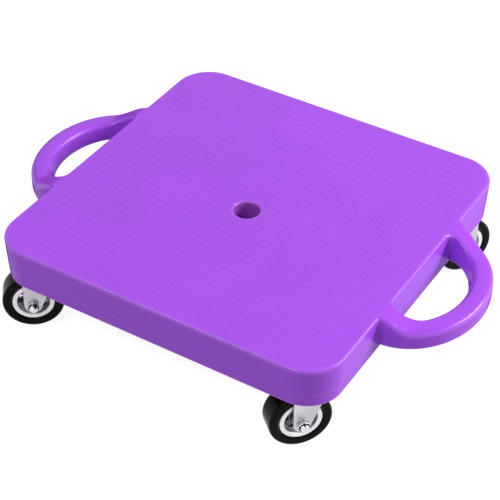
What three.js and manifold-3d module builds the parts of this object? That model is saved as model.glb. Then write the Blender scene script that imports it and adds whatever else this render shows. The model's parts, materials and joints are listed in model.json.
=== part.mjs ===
// A low square scooter board for sitting or kneeling on: one plastic moulding with a D handle on
// each side, rolling on four swivel casters. Millimetres, +Z up, +X towards the right handle, with
// the origin on the floor under the middle of the deck.

import * as THREE from 'three';
import { mergeVertices } from 'three/addons/utils/BufferGeometryUtils.js';
import Module from 'manifold-3d';

const wasm = await Module();
wasm.setup();

// Deck moulding, with its side walls leaning in downwards by the draft
const deckSizeX = 300;
const deckSizeY = 300;
const deckThickness = 37;
const deckCornerRadius = 31;
const deckTopRound = 4;
const deckBottomRound = 2;
const deckDraft = 1.6;
const deckSkin = 5;
const deckAboveFork = 1.8;
const rimWall = 4;
const ribWall = 3;
const ribRecess = 2;
const ribCellCount = 8;

// Hole through the deck, a little nearer the front edge than the middle
const holeDiameter = 21;
const holeChamfer = 1.5;
const holeWall = 4;
const holeY = -10;

// Handles: a bar bent in half an ellipse, below the deck's top, that rises towards it at its roots
const handleReach = 54.3;
const handleSpan = 136;
const handleBarWidth = 18.5;
const handleBarHeight = 16.5;
const handleTopRound = 4;
const handleBottomRound = 2;
const handleDrop = 10.5;
const handleRootDrop = 4.5;
const handleRampLength = 26;
const handleRootFillet = 3.5;

// Wheels: a tyre on a spoked hub that turns on a sleeve round the axle bolt
const wheelRadius = 25;
const tyreWidth = 20;
const tyreThickness = 7.5;
const tyreShoulder = 3;
const tyreBead = 1.2;
const rimThickness = 4.2;
const rimInset = 0.8;
const webThickness = 7;
const bossWall = 1.7;
const windowCount = 5;
const windowWidthShare = 0.62;
const windowTaperShare = 0.72;
const windowRootShare = 0.25;
const windowEdge = 0.6;
const axleDiameter = 6;
const sleeveWall = 1.5;
const boltHeadAcross = 10;
const boltHeadHeight = 4;
const nutWall = 1.5;
const nutBaseHeight = 3;

// Forks and the swivel bearings above them
const casterTrail = 12;
const wheelSideGap = 1.5;
const tyreToCrown = 2.5;
const forkSheet = 2;
const forkEndRadius = 7.5;
const crownRadius = 15.5;
const crownToPlate = 7.3;
const cupSheet = 1.6;
const cupDepth = 4;
const kingpinDiameter = 8;
const kingpinHeadRadius = 6.5;
const kingpinHeadHeight = 2.4;

// Caster plates and the screws that hold them
const kingpinInsetX = 26.5;
const kingpinInsetY = 34.5;
const plateSizeX = 38;
const plateSizeY = 44;
const plateCornerRadius = 10;
const plateThickness = 2.2;
const screwInset = 6;
const screwDiameter = 4;
const screwLength = 14;
const screwHeadDiameter = 7.6;
const screwHeadHeight = 2.4;

// Running and seating clearances, and how far a cutter runs past what it cuts
const clearance = 0.3;
const overrun = 1;

// Steps that a full turn, a corner, an edge's round and a handle are divided into
const smallSteps = 6;
const boreSteps = 10;
const turnSteps = 18;
const tyreSteps = 22;
const cornerSteps = 5;
const edgeSteps = 3;
const handleSteps = 24;
const hexagonSides = 6;
const handleRootCrowding = 1.5;

// Directions in which the casters trail at rest, in degrees about +Z from +X
const casters = [
  { name: 'front_right', sideX: 1, sideY: -1, trailAngle: 229 },
  { name: 'front_left', sideX: -1, sideY: -1, trailAngle: 218 },
  { name: 'back_right', sideX: 1, sideY: 1, trailAngle: 60 },
  { name: 'back_left', sideX: -1, sideY: 1, trailAngle: 214 },
];

// Levels, from the floor up
const axleZ = wheelRadius;
const crownBottomZ = 2 * wheelRadius + tyreToCrown;
const crownTopZ = crownBottomZ + forkSheet;
const plateBottomZ = crownTopZ + crownToPlate;
const plateTopZ = plateBottomZ + plateThickness;
const padZ = plateTopZ + clearance;
const deckBottomZ = crownTopZ + deckAboveFork;
const wallBottomZ = deckBottomZ + ribRecess / 2;
const ribBottomZ = deckBottomZ + ribRecess;
const deckTopZ = deckBottomZ + deckThickness;
const skinZ = deckTopZ - deckSkin;

// Radii and half widths that fit inside one another
const forkInnerY = tyreWidth / 2 + wheelSideGap;
const forkOuterY = forkInnerY + forkSheet;
const sleeveBore = axleDiameter / 2 + clearance;
const sleeveRadius = sleeveBore + sleeveWall;
const hubBore = sleeveRadius + clearance;
const bossRadius = hubBore + bossWall;
const rimRadius = wheelRadius - tyreThickness - clearance;
const webRadius = rimRadius - rimThickness;
const nutRadius = axleDiameter / 2 + nutWall;
const screwX = plateSizeX / 2 - screwInset;
const screwY = plateSizeY / 2 - screwInset;
const cupRadius = Math.hypot(screwX, screwY) - screwHeadDiameter / 2 - clearance;

const purple = { color: 0xa857e5, roughness: 0.42, metalness: 0 };
const blackRubber = { color: 0x131315, roughness: 0.35, metalness: 0 };
const paleHub = { color: 0xdcd8e2, roughness: 0.4, metalness: 0.3 };
const zinc = { color: 0xb9bac0, roughness: 0.35, metalness: 0.9 };
const chrome = { color: 0xe6e6ea, roughness: 0.1, metalness: 1 };

function degrees(angle) {
  return THREE.MathUtils.degToRad(angle);
}

// Solid of a closed geometry, for cutting and joining
function solidOf(geometry) {
  const bare = geometry.clone();
  bare.deleteAttribute('normal');
  bare.deleteAttribute('uv');
  const merged = mergeVertices(bare);
  return new wasm.Manifold(new wasm.Mesh({
    numProp: 3,
    vertProperties: new Float32Array(merged.attributes.position.array),
    triVerts: new Uint32Array(merged.index.array),
  }));
}

function geometryOf(solid) {
  const mesh = solid.getMesh();
  const geometry = new THREE.BufferGeometry();
  geometry.setAttribute('position', new THREE.BufferAttribute(mesh.vertProperties, mesh.numProp));
  geometry.setIndex(new THREE.BufferAttribute(mesh.triVerts, 1));
  geometry.computeVertexNormals();
  return geometry;
}

function joined(solids) {
  return solids.reduce((whole, solid) => whole.add(solid));
}

function moved(solid, x, y, z) {
  return solidOf(geometryOf(solid).translate(x, y, z));
}

function boxSolid(sizeX, sizeY, sizeZ, x, y, z) {
  return solidOf(new THREE.BoxGeometry(sizeX, sizeY, sizeZ).translate(x, y, z));
}

// Upright round bar or cone between two heights
function postSolid(radius, bottomZ, topZ, x, y, steps, topRadius = radius) {
  const height = topZ - bottomZ;
  const post = new THREE.CylinderGeometry(topRadius, radius, height, steps).rotateX(degrees(90));
  return solidOf(post.translate(x, y, (bottomZ + topZ) / 2));
}

// Bar along the axle, round or with six flats, between two places along it
function axleBar(radius, fromY, toY, steps) {
  const bar = new THREE.CylinderGeometry(radius, radius, toY - fromY, steps);
  return solidOf(bar.translate(0, (fromY + toY) / 2, 0));
}

// Turned piece from a profile of [radius, height] pairs, with its axis along Y
function turned(profile, steps) {
  return new THREE.LatheGeometry(profile.map(([r, h]) => new THREE.Vector2(r, h)), steps);
}

// Turned piece standing upright, with the profile's heights along Z
function turnedUpright(profile, steps) {
  return turned(profile, steps).rotateX(degrees(90));
}

// Closed body through rings of equal numbers of points, from the bottom or the near end onwards
function lofted(rings) {
  const count = rings[0].length;
  const positions = rings.flatMap((ring) => ring.flatMap((p) => [p.x, p.y, p.z]));
  const index = [];
  for (let level = 0; level + 1 < rings.length; level += 1) {
    for (let i = 0; i < count; i += 1) {
      const next = (i + 1) % count;
      const low = level * count;
      const high = low + count;
      index.push(low + i, low + next, high + next, low + i, high + next, high + i);
    }
  }
  const last = (rings.length - 1) * count;
  for (let i = 1; i + 1 < count; i += 1) index.push(0, i + 1, i, last, last + i, last + i + 1);
  const geometry = new THREE.BufferGeometry();
  geometry.setAttribute('position', new THREE.Float32BufferAttribute(positions, 3));
  geometry.setIndex(index);
  return solidOf(geometry);
}

// Points round a level rectangle with round corners, anticlockwise. The two corners at its low
// end of Y can have a radius of their own.
function roundedRectangle(halfX, halfY, highRadius, steps, z, lowRadius = highRadius) {
  const points = [];
  for (let corner = 0; corner < 4; corner += 1) {
    const sideX = corner === 0 || corner === 3 ? 1 : -1;
    const sideY = corner < 2 ? 1 : -1;
    const radius = corner < 2 ? highRadius : lowRadius;
    for (let step = 0; step <= steps; step += 1) {
      const angle = degrees(90) * (corner + step / steps);
      points.push(new THREE.Vector3(
        sideX * (halfX - radius) + radius * Math.cos(angle),
        sideY * (halfY - radius) + radius * Math.sin(angle),
        z,
      ));
    }
  }
  return points;
}

// Outline of the deck at one height, drawn in by an inset and by the draft
function deckOutline(inset, z) {
  const wallTopZ = deckTopZ - deckTopRound;
  const share = (wallTopZ - Math.min(z, wallTopZ)) / (wallTopZ - deckBottomZ);
  const lean = inset + deckDraft * share;
  const halfX = deckSizeX / 2 - lean;
  const halfY = deckSizeY / 2 - lean;
  return roundedRectangle(halfX, halfY, deckCornerRadius - lean, cornerSteps, z);
}

// Outer block of the deck, with its top and bottom edges rounded
function deckBlock() {
  const low = [];
  const high = [];
  for (let step = 0; step <= edgeSteps; step += 1) {
    const rise = Math.sin(degrees(90) * (step / edgeSteps));
    const inset = 1 - Math.cos(degrees(90) * (step / edgeSteps));
    low.push(deckOutline(deckBottomRound * (1 - rise), deckBottomZ + deckBottomRound * inset));
    high.push(deckOutline(deckTopRound * inset, deckTopZ - deckTopRound * (1 - rise)));
  }
  return lofted([...low, ...high]);
}

// Heights of the handle bar's top and bottom, by how far it is from the deck's edge
function handleLevels(out) {
  const ramp = (1 - Math.min(out / handleRampLength, 1)) ** 2;
  return {
    lowZ: deckTopZ - handleDrop - handleBarHeight,
    highZ: deckTopZ - handleDrop + (handleDrop - handleRootDrop) * ramp,
  };
}

// Section across a handle's bar where its middle line has turned by the given angle, flared near
// the deck's edge into a fillet on both flanks
function handleSection(side, angle, setback) {
  const reach = handleReach + deckDraft - handleBarWidth / 2;
  const halfSpan = (handleSpan - handleBarWidth) / 2;
  const out = reach * Math.cos(angle);
  const x = deckSizeX / 2 - deckDraft + out - setback;
  const y = halfSpan * Math.sin(angle);
  const across = new THREE.Vector2(halfSpan * Math.cos(angle), reach * Math.sin(angle)).normalize();
  const gap = handleRootFillet - Math.min(out, handleRootFillet);
  const flare = handleRootFillet - Math.sqrt(handleRootFillet ** 2 - gap ** 2);
  const { lowZ, highZ } = handleLevels(out);
  const halfHeight = (highZ - lowZ) / 2;
  const topRound = Math.min(handleTopRound, handleBarWidth / 2, handleBarHeight / 2);
  const outline = roundedRectangle(
    handleBarWidth / 2 + flare, halfHeight, topRound, edgeSteps, 0, handleBottomRound,
  );
  return outline.map((p) => new THREE.Vector3(
    side * (x + across.x * p.x),
    y + across.y * p.x,
    lowZ + halfHeight + p.y,
  ));
}

// Handle on the side where side is 1 or -1, made from one root round to the other in the sense that
// turns its faces outwards
function handle(side) {
  const quarter = -degrees(90) * side;
  const sections = [handleSection(side, -quarter, rimWall / 2)];
  for (let step = 0; step <= handleSteps; step += 1) {
    const turn = 2 * (step / handleSteps) - 1;
    const angle = quarter * Math.sign(turn) * (1 - (1 - Math.abs(turn)) ** handleRootCrowding);
    sections.push(handleSection(side, angle, 0));
  }
  sections.push(handleSection(side, quarter, rimWall / 2));
  return lofted(sections);
}

function kingpinPlace({ sideX, sideY }) {
  return {
    x: sideX * (deckSizeX / 2 - kingpinInsetX),
    y: sideY * (deckSizeY / 2 - kingpinInsetY),
  };
}

// Places of the four plate screws about the kingpin
function screwPlaces() {
  return [[-1, -1], [1, -1], [1, 1], [-1, 1]].map(([sideX, sideY]) => ({
    x: sideX * screwX,
    y: sideY * screwY,
  }));
}

function plateOutline(growth, z) {
  const halfX = plateSizeX / 2 + growth;
  const halfY = plateSizeY / 2 + growth;
  return roundedRectangle(halfX, halfY, plateCornerRadius + growth, edgeSteps, z);
}

// Block in the corner of the deck, from just above its bottom edge, that a caster is screwed to
function casterPad({ sideX, sideY }) {
  const margin = clearance + ribWall;
  const sizeX = kingpinInsetX + plateSizeX / 2 + margin;
  const sizeY = kingpinInsetY + plateSizeY / 2 + margin;
  const height = skinZ + overrun - wallBottomZ;
  const x = sideX * (deckSizeX - sizeX) / 2;
  const y = sideY * (deckSizeY - sizeY) / 2;
  return boxSolid(sizeX, sizeY, height, x, y, wallBottomZ + height / 2);
}

// Gaps between the ribs along one direction, of which the first and last run into the rim
function ribGaps(inner) {
  const pitch = inner / ribCellCount;
  const gaps = [];
  for (let cell = 0; cell < ribCellCount; cell += 1) {
    const low = cell === 0 ? -overrun : ribWall / 2;
    const high = cell === ribCellCount - 1 ? -overrun : ribWall / 2;
    const width = pitch - low - high;
    gaps.push({ middle: cell * pitch - inner / 2 + low + width / 2, width });
  }
  return gaps;
}

// Grid of ribs under the skin
function ribGrid() {
  const innerX = deckSizeX - 2 * (deckDraft + rimWall);
  const innerY = deckSizeY - 2 * (deckDraft + rimWall);
  const height = skinZ + overrun - ribBottomZ;
  const z = ribBottomZ + height / 2;
  const cells = ribGaps(innerX).flatMap((gapX) => ribGaps(innerY).map((gapY) => boxSolid(
    gapX.width, gapY.width, height + 2 * overrun, gapX.middle, gapY.middle, z,
  )));
  const block = boxSolid(innerX + 4 * overrun, innerY + 4 * overrun, height, 0, 0, z);
  return block.subtract(joined(cells));
}

// Room under the skin, less the ribs, the caster blocks and the wall round the hole
function underdeckHollow() {
  const block = lofted([deckOutline(rimWall, deckBottomZ - overrun), deckOutline(rimWall, skinZ)]);
  const wallRadius = holeDiameter / 2 + holeWall;
  const holeTube = postSolid(wallRadius, wallBottomZ, skinZ + overrun, 0, holeY, turnSteps);
  return block.subtract(ribGrid()).subtract(joined(casters.map(casterPad))).subtract(holeTube);
}

function deckHole() {
  const radius = holeDiameter / 2;
  const low = deckBottomZ - overrun;
  const high = deckTopZ + overrun;
  const bore = postSolid(radius, low, high, 0, holeY, turnSteps);
  const mouthZ = deckTopZ - holeChamfer - overrun;
  const mouthRadius = radius + holeChamfer + overrun;
  return bore.add(postSolid(radius - overrun, mouthZ, high, 0, holeY, turnSteps, mouthRadius));
}

// Seat of one caster in its block: room for the plate, the kingpin's head and the screws
function casterSeat(caster) {
  const place = kingpinPlace(caster);
  const headTopZ = padZ + kingpinHeadHeight + 2 * clearance;
  const headRadius = kingpinHeadRadius + overrun;
  const plateRoom = lofted([
    plateOutline(clearance, deckBottomZ - overrun),
    plateOutline(clearance, padZ),
  ]);
  const headRoom = postSolid(headRadius, padZ - overrun, headTopZ, 0, 0, boreSteps);
  const pilots = screwPlaces().map(({ x, y }) => postSolid(
    screwDiameter / 2 + clearance, padZ - overrun, padZ + screwLength, x, y, smallSteps,
  ));
  return joined([plateRoom, headRoom, ...pilots].map((solid) => moved(solid, place.x, place.y, 0)));
}

function deck() {
  return geometryOf(joined([deckBlock(), handle(1), handle(-1)])
    .subtract(underdeckHollow())
    .subtract(deckHole())
    .subtract(joined(casters.map(casterSeat))));
}

// Pressed plate that the four screws hold against the block
function casterPlate() {
  const blank = lofted([plateOutline(0, plateBottomZ), plateOutline(0, plateTopZ)]);
  const low = plateBottomZ - overrun;
  const high = plateTopZ + overrun;
  const kingpinHole = postSolid(kingpinDiameter / 2 + clearance, low, high, 0, 0, boreSteps);
  const screwHoles = screwPlaces().map(({ x, y }) => postSolid(
    screwDiameter / 2 + clearance, low, high, x, y, smallSteps,
  ));
  return geometryOf(blank.subtract(joined([kingpinHole, ...screwHoles])));
}

// Upside-down cup under the plate that the balls run in
function bearingCup() {
  const topZ = plateBottomZ - clearance;
  const bore = kingpinDiameter / 2 + clearance;
  return turnedUpright([
    [bore, topZ - cupSheet],
    [cupRadius - cupSheet, topZ - cupSheet],
    [cupRadius - cupSheet, topZ - cupDepth],
    [cupRadius, topZ - cupDepth],
    [cupRadius, topZ - cupSheet / 2],
    [cupRadius - cupSheet / 2, topZ],
    [bore, topZ],
    [bore, topZ - cupSheet],
  ], turnSteps);
}

// Ring of caged balls between the cup and the fork's crown
function ballRing() {
  const lowZ = crownTopZ + clearance;
  const highZ = plateBottomZ - 2 * clearance - cupSheet;
  const radius = (highZ - lowZ) / 2;
  const middle = cupRadius - cupSheet - radius - clearance;
  const profile = [];
  for (let step = 0; step <= smallSteps; step += 1) {
    const angle = degrees(-360) * (step / smallSteps);
    profile.push([middle - radius * Math.sin(angle), lowZ + radius - radius * Math.cos(angle)]);
  }
  return turnedUpright(profile, boreSteps);
}

// Rivet on which the fork swivels, with a head above the plate and one under the crown
function kingpin() {
  const shank = kingpinDiameter / 2;
  const highZ = plateTopZ + clearance;
  const lowZ = crownBottomZ - clearance;
  return turnedUpright([
    [0, lowZ - kingpinHeadHeight / 2],
    [kingpinHeadRadius / 2, lowZ - kingpinHeadHeight / 2],
    [kingpinHeadRadius, lowZ],
    [shank, lowZ],
    [shank, highZ],
    [kingpinHeadRadius, highZ],
    [kingpinHeadRadius / 2, highZ + kingpinHeadHeight],
    [0, highZ + kingpinHeadHeight],
  ], boreSteps);
}

// Pan-head screw, head down, standing through the plate into the block
function plateScrew() {
  const shank = screwDiameter / 2;
  const head = screwHeadDiameter / 2;
  const seatZ = plateBottomZ - clearance;
  const tipZ = padZ + screwLength - clearance;
  return turnedUpright([
    [0, seatZ - screwHeadHeight],
    [head / 2, seatZ - screwHeadHeight],
    [head, seatZ],
    [shank, seatZ],
    [shank, tipZ - screwDiameter],
    [0, tipZ],
  ], smallSteps);
}

// Side of the fork: upright behind the axle, sloping in front of it from the crown down to the
// round end, which the slope meets as a tangent
function forkLeg(y) {
  const topX = -crownRadius / 2;
  const dropX = topX - casterTrail;
  const dropZ = crownBottomZ - axleZ;
  const tangent = Math.acos(forkEndRadius / Math.hypot(dropX, dropZ));
  const start = Math.atan2(dropZ, dropX) + tangent;
  const outline = new THREE.Shape();
  outline.moveTo(casterTrail + forkEndRadius, crownTopZ);
  outline.lineTo(topX, crownTopZ);
  outline.lineTo(topX, crownBottomZ);
  outline.absarc(casterTrail, axleZ, forkEndRadius, start, degrees(360), false);
  const leg = new THREE.ExtrudeGeometry(outline, {
    depth: forkSheet, bevelEnabled: false, curveSegments: cornerSteps,
  });
  return solidOf(leg.rotateX(degrees(90)).translate(0, y + forkSheet / 2, 0));
}

// Pressed fork: round crown on the kingpin, drawn back over the wheel, with a leg on each side
function fork() {
  const rearX = casterTrail + forkEndRadius;
  const legY = forkInnerY + forkSheet / 2;
  const crown = postSolid(crownRadius, crownBottomZ, crownTopZ, 0, 0, turnSteps);
  const roof = boxSolid(rearX, 2 * forkOuterY, forkSheet, rearX / 2, 0, crownTopZ - forkSheet / 2);
  const kingpinHole = postSolid(
    kingpinDiameter / 2 + clearance, crownBottomZ - overrun, crownTopZ + overrun, 0, 0, boreSteps,
  );
  const end = forkOuterY + overrun;
  const axleHole = moved(axleBar(sleeveBore, -end, end, boreSteps), casterTrail, 0, axleZ);
  return geometryOf(joined([crown, roof, forkLeg(legY), forkLeg(-legY)])
    .subtract(kingpinHole)
    .subtract(axleHole));
}

// Bolt with its hexagon head on one leg, reaching into the domed nut on the other
function axleBolt() {
  const headY = -forkOuterY - clearance;
  const endY = forkOuterY + nutBaseHeight;
  const shank = axleBar(axleDiameter / 2, headY - overrun, endY, boreSteps);
  const head = axleBar(boltHeadAcross / Math.sqrt(3), headY - boltHeadHeight, headY, hexagonSides);
  return geometryOf(shank.add(head));
}

// Domed cap nut: six flats under a round dome, with a blind bore for the bolt's end
function domedNut() {
  const seatY = forkOuterY + clearance;
  const flatsY = seatY + nutBaseHeight;
  const profile = [[0, seatY], [nutRadius, seatY]];
  for (let step = 0; step < cornerSteps; step += 1) {
    const angle = degrees(90) * (step / cornerSteps);
    profile.push([nutRadius * Math.cos(angle), flatsY + nutRadius * Math.sin(angle)]);
  }
  profile.push([0, flatsY + nutRadius]);
  const dome = solidOf(turned(profile, boreSteps));
  const flats = axleBar(2 * nutRadius / Math.sqrt(3), seatY, flatsY, hexagonSides);
  return geometryOf(dome.add(flats).subtract(axleBar(sleeveBore, 0, flatsY, boreSteps)));
}

// Steel tube round the bolt that the fork legs clamp and the hub turns on
function axleSleeve() {
  const end = forkInnerY - clearance;
  return turned([
    [sleeveBore, -end],
    [sleeveRadius, -end],
    [sleeveRadius, end],
    [sleeveBore, end],
    [sleeveBore, -end],
  ], boreSteps);
}

// Gap between two hub spokes, through the web
function hubWindow(turn) {
  const inner = bossRadius + windowRootShare * (webRadius - bossRadius);
  const halfAngle = degrees(180) / windowCount * windowWidthShare;
  const rootAngle = halfAngle * windowTaperShare;
  const outline = new THREE.Shape();
  outline.absarc(0, 0, webRadius - windowEdge, -halfAngle, halfAngle, false);
  outline.absarc(0, 0, inner, rootAngle, -rootAngle, true);
  const cutter = new THREE.ExtrudeGeometry(outline, {
    depth: tyreWidth, bevelEnabled: false, curveSegments: edgeSteps,
  });
  return solidOf(cutter.translate(0, 0, -tyreWidth / 2).rotateZ(turn).rotateX(degrees(90)));
}

// Five-spoke hub: rim, thinner web and a boss that runs on the sleeve
function hub() {
  const bossEnd = forkInnerY - 2 * clearance;
  const rimEnd = tyreWidth / 2 - rimInset;
  const webEnd = webThickness / 2;
  const body = turned([
    [hubBore, -bossEnd],
    [bossRadius, -bossEnd],
    [bossRadius, -webEnd],
    [webRadius, -webEnd],
    [webRadius, -rimEnd],
    [rimRadius, -rimEnd],
    [rimRadius, rimEnd],
    [webRadius, rimEnd],
    [webRadius, webEnd],
    [bossRadius, webEnd],
    [bossRadius, bossEnd],
    [hubBore, bossEnd],
    [hubBore, -bossEnd],
  ], turnSteps);
  const windows = [];
  for (let i = 0; i < windowCount; i += 1) windows.push(hubWindow(degrees(360) * (i / windowCount)));
  return geometryOf(solidOf(body).subtract(joined(windows)));
}

// Solid tyre with flat sides and rounded shoulders
function tyre() {
  const inner = rimRadius + clearance;
  const side = tyreWidth / 2;
  const diagonal = tyreShoulder * (1 - Math.SQRT1_2);
  return turned([
    [inner, -side + tyreBead],
    [inner + tyreBead, -side],
    [wheelRadius - tyreShoulder, -side],
    [wheelRadius - diagonal, -side + diagonal],
    [wheelRadius, -side + tyreShoulder],
    [wheelRadius, side - tyreShoulder],
    [wheelRadius - diagonal, side - diagonal],
    [wheelRadius - tyreShoulder, side],
    [inner + tyreBead, side],
    [inner, side - tyreBead],
    [inner, -side + tyreBead],
  ], tyreSteps);
}

function piece(name, geometry, finish) {
  const mesh = new THREE.Mesh(geometry, new THREE.MeshStandardMaterial(finish));
  mesh.name = name;
  return mesh;
}

// What stays with the deck: plate, cup, kingpin and screws
function fixedHalf(caster) {
  const { x, y } = kingpinPlace(caster);
  const half = new THREE.Group();
  half.position.set(x, y, 0);
  half.add(piece(`${caster.name}_plate`, casterPlate(), zinc));
  half.add(piece(`${caster.name}_bearing_cup`, bearingCup(), zinc));
  half.add(piece(`${caster.name}_kingpin`, kingpin(), zinc));
  screwPlaces().forEach((place, i) => {
    const screw = piece(`${caster.name}_screw_${i + 1}`, plateScrew(), zinc);
    screw.position.set(place.x, place.y, 0);
    half.add(screw);
  });
  return half;
}

// What swivels: fork and ball ring, and the wheel on its axle
function swivelHalf(caster) {
  const { x, y } = kingpinPlace(caster);
  const half = new THREE.Group();
  half.position.set(x, y, 0);
  half.rotation.z = degrees(caster.trailAngle);
  half.add(piece(`${caster.name}_ball_ring`, ballRing(), zinc));
  half.add(piece(`${caster.name}_fork`, fork(), zinc));
  const axle = new THREE.Group();
  axle.position.set(casterTrail, 0, axleZ);
  axle.add(piece(`${caster.name}_axle_bolt`, axleBolt(), zinc));
  axle.add(piece(`${caster.name}_axle_nut`, domedNut(), chrome));
  axle.add(piece(`${caster.name}_axle_sleeve`, axleSleeve(), zinc));
  axle.add(piece(`${caster.name}_hub`, hub(), paleHub));
  axle.add(piece(`${caster.name}_tyre`, tyre(), blackRubber));
  half.add(axle);
  return half;
}

const board = new THREE.Group();
board.add(piece('deck', deck(), purple));
for (const caster of casters) board.add(fixedHalf(caster), swivelHalf(caster));

export default board;
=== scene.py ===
import json
import math

import bmesh
import bpy
import numpy as np
from mathutils import Matrix, Vector


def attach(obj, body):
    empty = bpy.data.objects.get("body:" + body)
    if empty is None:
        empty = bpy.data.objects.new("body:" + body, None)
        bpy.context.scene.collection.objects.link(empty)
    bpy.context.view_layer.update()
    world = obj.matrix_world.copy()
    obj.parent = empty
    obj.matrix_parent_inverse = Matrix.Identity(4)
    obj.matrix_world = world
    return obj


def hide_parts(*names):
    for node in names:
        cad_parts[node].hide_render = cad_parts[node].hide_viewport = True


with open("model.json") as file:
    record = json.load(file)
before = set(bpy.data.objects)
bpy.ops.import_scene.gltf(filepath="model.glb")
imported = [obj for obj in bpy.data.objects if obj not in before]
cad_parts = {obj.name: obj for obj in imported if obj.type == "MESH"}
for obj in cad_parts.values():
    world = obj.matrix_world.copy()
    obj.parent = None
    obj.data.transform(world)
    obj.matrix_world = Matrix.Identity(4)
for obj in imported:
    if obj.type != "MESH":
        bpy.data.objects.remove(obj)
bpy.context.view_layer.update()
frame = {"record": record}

# Deck moulding: one piece of purple plastic, a square tray with round corners, a lip round its hole
# and a D handle at each side. It comes out of the mould in one shot, so every edge is a soft round
# and the handles run into the top without a seam. Sizes are in millimetres.
deck_half, deck_top, deck_bottom, deck_corner = 150.0, 93.3, 56.3, 31.0
top_round, bottom_round, side_draft = 2.6, 2.0, 1.6
skin_underside, rim_wall, wall_bottom = 88.3, 4.0, 57.3
hole_middle_y, hole_radius, hole_wall, hole_lip = -10.0, 10.5, 4.0, 2.2
handle_reach, handle_half_span = 46.65, 58.75
handle_half_width, handle_low, handle_high, handle_draft = 9.25, 66.3, 82.8, 2.0
handle_top_round, handle_bottom_round, handle_ramp, handle_crown = 4.0, 2.0, 29.0, 1.5
root_blend, root_blend_outer, root_blend_inner, seam_blend = 2.5, 4.0, 10.0, 0.6
kingpin_x, kingpin_y, block_low_x, block_low_y = 123.5, 115.5, 101.2, 93.2
seat_half_x, seat_half_y, seat_corner, seat_top = 19.3, 22.3, 10.3, 64.3
handle_into_deck, gap_inner, gap_outer, crown_limit = 9.0, 0.94, 1.06, 1.2
skin_fillet, standing_fillet, rim_fillet, seat_fillet = 2.0, 1.6, 1.2, 0.8


def soft_union(a, b, blend):
    near = np.maximum(blend - np.abs(a - b), 0) / blend
    return np.minimum(a, b) - near * near * blend / 4


def soft_meet(a, b, blend):
    return -soft_union(-a, -b, blend)


def rounded_bar(across, z, low, high, low_round, high_round):
    upper = z > (low + high) / 2
    radius = np.where(upper, high_round, low_round)
    out = across + radius
    rise = np.where(upper, z - high, low - z) + radius
    inside = np.minimum(np.maximum(out, rise), 0)
    return inside + np.hypot(np.maximum(out, 0), np.maximum(rise, 0)) - radius


def rounded_plan(x, y, half_x, half_y, corner):
    qx = np.abs(x) - half_x + corner
    qy = np.abs(y) - half_y + corner
    inside = np.minimum(np.maximum(qx, qy), 0)
    return inside + np.hypot(np.maximum(qx, 0), np.maximum(qy, 0)) - corner


def line_distance(px, py, line_x, line_y):
    px, py = np.broadcast_arrays(px, py)
    nearest = np.full(px.shape, np.inf)
    for ax, ay, bx, by in zip(line_x[:-1], line_y[:-1], line_x[1:], line_y[1:]):
        dx, dy = bx - ax, by - ay
        share = np.clip(((px - ax) * dx + (py - ay) * dy) / (dx * dx + dy * dy), 0, 1)
        nearest = np.minimum(nearest, np.hypot(px - ax - share * dx, py - ay - share * dy))
    return nearest


def fade(value, start, end):
    """0 up to the start, 1 from the end on, and straight between them."""
    return np.clip((value - start) / (end - start), 0, 1)


def smooth_fade(value, start, end):
    share = fade(value, start, end)
    return share * share * (3 - 2 * share)


def handle_across(x, y):
    """Distance in plan from a handle's flank. Its middle line is half an ellipse that runs into the deck."""
    line_points = 120
    turn = np.linspace(0, math.pi / 2, line_points)
    line_x = np.append(deck_half - side_draft + handle_reach * np.cos(turn), deck_half - handle_into_deck)
    line_y = np.append(handle_half_span * np.sin(turn), handle_half_span)
    return line_distance(np.abs(x), np.abs(y), line_x, line_y) - handle_half_width


def deck_with_handles(plan, x, y, z):
    """Outside of the moulding, with fillets at the handles' roots that widen towards the top."""
    block = rounded_bar(plan, z, deck_bottom, deck_top, bottom_round, top_round)
    out = np.hypot((np.abs(x) - deck_half + side_draft) / handle_reach, y / handle_half_span)
    across = handle_across(x, y)
    off_middle = np.clip(1 + across / handle_half_width, 0, crown_limit)
    in_gap = smooth_fade(out, gap_outer, gap_inner)
    across = across + handle_draft * in_gap * smooth_fade(z, handle_low, handle_high)
    drop = smooth_fade(np.abs(x), deck_half - top_round, deck_half - top_round + handle_ramp)
    high = deck_top - (deck_top - handle_high + handle_crown * off_middle * off_middle) * drop
    edge = top_round + (handle_top_round - top_round) * drop
    widest = root_blend_outer + (root_blend_inner - root_blend_outer) * in_gap
    spread = root_blend + (widest - root_blend) * smooth_fade(z, handle_low, deck_top)
    flowing = rounded_bar(soft_union(plan, across, spread), z, handle_low, high, handle_bottom_round, edge)
    handle = rounded_bar(across, z, handle_low, high, handle_bottom_round, edge)
    least_share = 0.02
    joined = soft_union(block, handle, root_blend * np.maximum(fade(z, deck_top, handle_low), least_share))
    return soft_union(flowing, joined, seam_blend) + seam_blend / 4


def deck_distance(x, y, z):
    lean = side_draft * fade(z, deck_top - top_round, deck_bottom)
    plan = rounded_plan(x, y, deck_half, deck_half, deck_corner) + lean
    outside = deck_with_handles(plan, x, y, z)
    across_hole = np.hypot(x, y - hole_middle_y)
    tube = np.maximum(across_hole - hole_radius - hole_wall, wall_bottom - z)
    corner_block = np.maximum(np.maximum(block_low_x - np.abs(x), block_low_y - np.abs(y)), wall_bottom - z)
    standing = np.minimum(tube, corner_block)
    tray = soft_meet(plan + rim_wall, z - skin_underside, skin_fillet)
    hollow = soft_meet(tray, -standing, standing_fillet)
    seat = np.maximum(rounded_plan(np.abs(x) - kingpin_x, np.abs(y) - kingpin_y,
                                   seat_half_x, seat_half_y, seat_corner), z - seat_top)
    shell = soft_meet(soft_meet(outside, -hollow, rim_fillet), -seat, seat_fillet)
    return soft_meet(shell, hole_radius - across_hole, hole_lip)


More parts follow.
